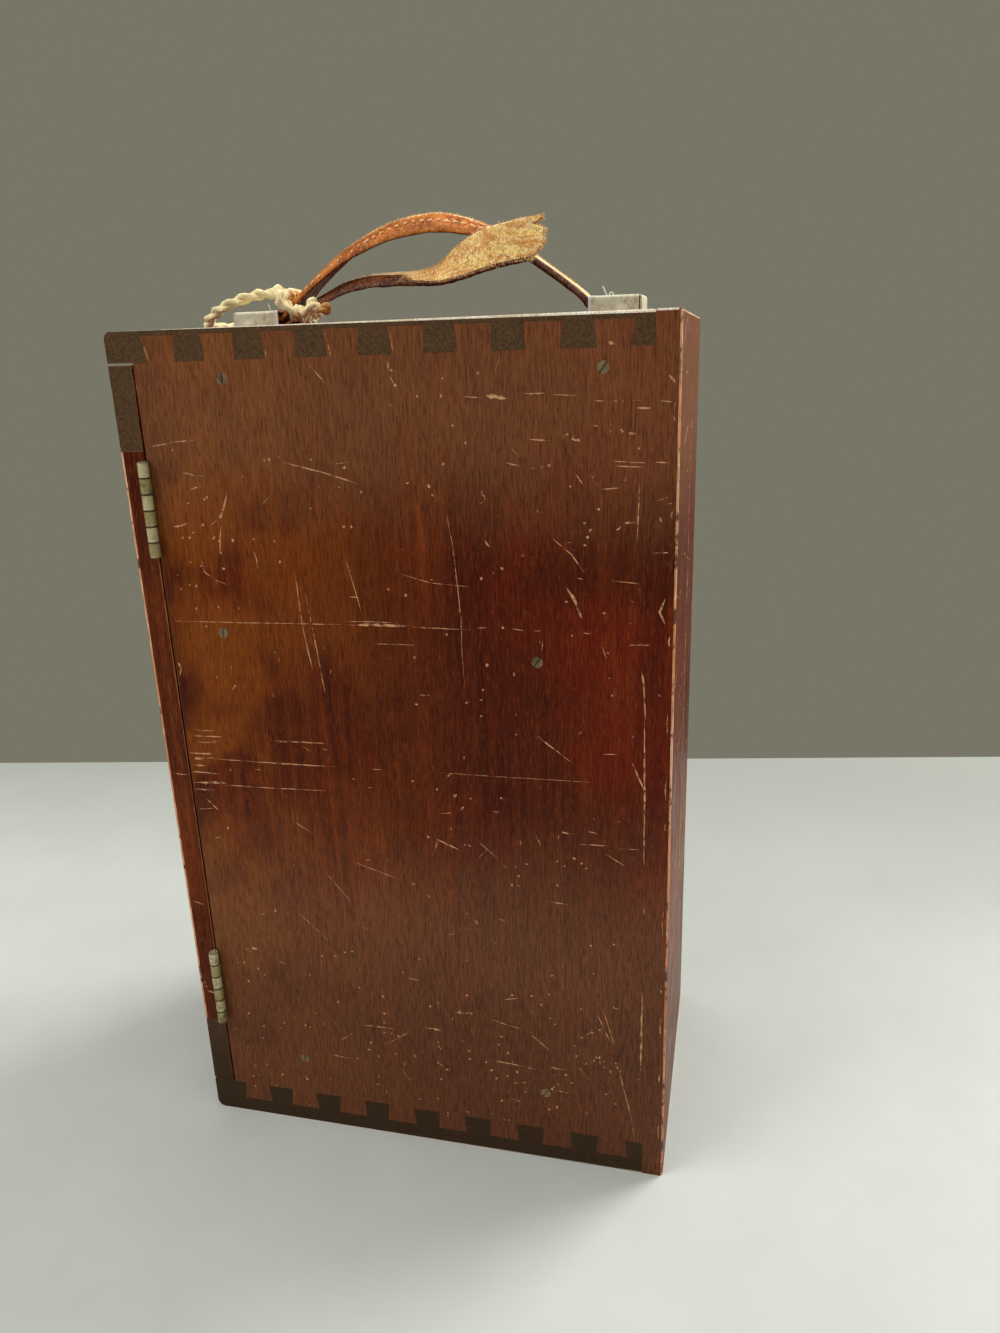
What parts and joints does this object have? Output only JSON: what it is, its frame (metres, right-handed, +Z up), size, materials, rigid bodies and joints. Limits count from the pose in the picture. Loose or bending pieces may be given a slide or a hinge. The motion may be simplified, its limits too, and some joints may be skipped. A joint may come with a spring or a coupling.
{
  "type": "wooden microscope case",
  "caption": "Upright wooden carrying case for a microscope, with dovetailed corners, a hinged locking door and a torn leather strap handle tied with string.",
  "frame": {"origin": "centre of the underside of the carcass, on the surface the case stands on", "axes": "+X towards the hinged side face, -Y towards the door (front), +Z up"},
  "size_m": [0.1344, 0.2416, 0.4019],
  "materials": {
    "case_wood": "old reddish-brown varnish, scratched",
    "board_wood": "dark varnished end grain",
    "fitting_wood": "satin varnish",
    "brass": "aged, tarnished",
    "screw_metal": "dull",
    "key_steel": "worn nickel",
    "clip_tin": "dull tinned sheet",
    "leather": "worn tan leather",
    "string": "twisted natural fibre"
  },
  "bodies": {
    "case": {"side_panel_hinge_side": "case_wood", "side_panel_lock_side": "case_wood", "top_board": "board_wood", "bottom_board": "board_wood", "back_panel": "case_wood", "back_panel_nails": "screw_metal", "foot_rail_hinge_side": "fitting_wood", "foot_rail_lock_side": "fitting_wood", "foot_rail_screws": "screw_metal", "top_batten_hinge_side": "fitting_wood", "top_batten_lock_side": "fitting_wood", "top_batten_screws": "screw_metal", "accessory_rack": "fitting_wood", "accessory_rack_screws": "screw_metal", "upper_hinge_case_leaf": "brass", "upper_hinge_case_screws": "screw_metal", "upper_hinge_pin": "brass", "lower_hinge_case_leaf": "brass", "lower_hinge_case_screws": "screw_metal", "lower_hinge_pin": "brass", "strike_plate": "brass", "strike_plate_screws": "screw_metal", "front_strap_clip": "clip_tin", "front_clip_screws": "screw_metal", "rear_strap_clip": "clip_tin", "rear_clip_screws": "screw_metal", "handle_strap": "leather", "handle_torn_strap": "leather", "handle_strap_stub": "leather", "tie_string_knot": "string", "tie_string_tail": "string"},
    "door": {"door_panel": "case_wood", "door_top_cleat": "board_wood", "door_bottom_cleat": "board_wood", "door_foot_stop": "fitting_wood", "foot_stop_screws": "screw_metal", "upper_hinge_door_leaf": "brass", "upper_hinge_door_screws": "screw_metal", "lower_hinge_door_leaf": "brass", "lower_hinge_door_screws": "screw_metal", "lock_backplate": "brass", "lock_cover": "brass", "lock_bolt_spring": "screw_metal", "lock_screws": "screw_metal", "key_escutcheon": "brass", "escutcheon_pins": "screw_metal"},
    "lock_bolt": {"lock_bolt": "brass"},
    "key": {"key": "key_steel"}
  },
  "joints": [
    {"name": "door_swing", "type": "hinge", "parent": "case", "child": "door", "pos_m": [0.0673, -0.0976, 0.18], "axis": [0, 0, 1], "range_deg": [0, 200]},
    {"name": "key_turn", "type": "hinge", "parent": "door", "child": "key", "pos_m": [-0.037, -0.11, 0.175], "axis": [0, -1, 0], "range_deg": [0, 360]},
    {"name": "bolt_slide", "type": "slide", "parent": "door", "child": "lock_bolt", "axis": [-1, 0, 0], "range_m": [0, 0.007]}
  ],
  "couplings": [
    {"joint": "key_turn", "follows": "bolt_slide", "rad_per_m": 897.5}
  ]
}
